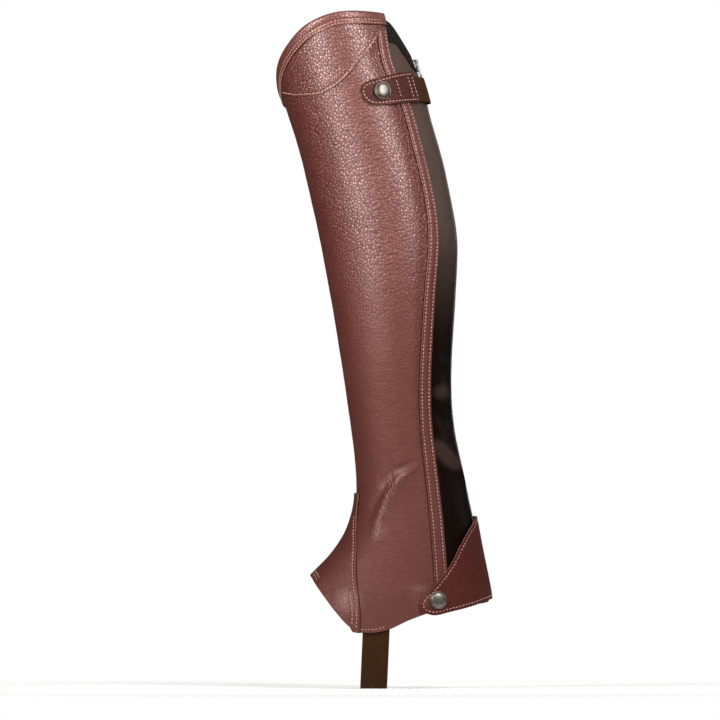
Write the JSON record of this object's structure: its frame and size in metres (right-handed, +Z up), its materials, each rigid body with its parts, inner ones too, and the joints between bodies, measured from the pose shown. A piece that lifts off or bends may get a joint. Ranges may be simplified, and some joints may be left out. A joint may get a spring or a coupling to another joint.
{
  "type": "leather half chap",
  "caption": "Zipped leather half chap for the left lower leg, with a stretch panel, a snapped top strap, a heel flap and an elastic stirrup.",
  "frame": {"origin": "on the middle line of the hollow leg, level with the fullest part of the calf, where the wearer's leg holds the part", "axes": "+X from the toe to the heel, -Y the outer side of the leg, +Z up the leg"},
  "size_m": [0.177, 0.1262, 0.5546],
  "materials": {
    "chestnut_leather": "pebbled, soft sheen",
    "chestnut_edge": "pebbled, stitched",
    "umber_stretch": "smooth stretch knit",
    "dark_trim": "matte woven tape",
    "tan_elastic": "ribbed elastic",
    "old_silver": "antique silver",
    "bright_nickel": "bright nickel"
  },
  "bodies": {
    "chap": {"main_panel": "chestnut_leather", "top_yoke": "chestnut_leather", "top_binding": "chestnut_edge", "edge_strip": "chestnut_edge", "stretch_panel": "umber_stretch", "stretch_hem": "dark_trim", "zip_tape_outer": "dark_trim", "zip_tape_inner": "dark_trim", "zip_chain": "bright_nickel", "zip_slider": "bright_nickel", "instep_gusset": "chestnut_leather", "heel_flap": "chestnut_leather", "strap_tab": "chestnut_leather", "strap_elastic": "tan_elastic", "stirrup": "tan_elastic", "snap_upper": "old_silver", "snap_lower": "old_silver", "post_upper": "old_silver", "post_lower": "old_silver"},
    "pull": {"zip_pull": "bright_nickel"}
  },
  "joints": [
    {"name": "pull_hinge", "type": "hinge", "parent": "chap", "child": "pull", "pos_m": [0.0206, -0.008, 0.14598], "axis": [-0.0984, -0.9945, -0.0367], "range_deg": [0, 150]}
  ]
}
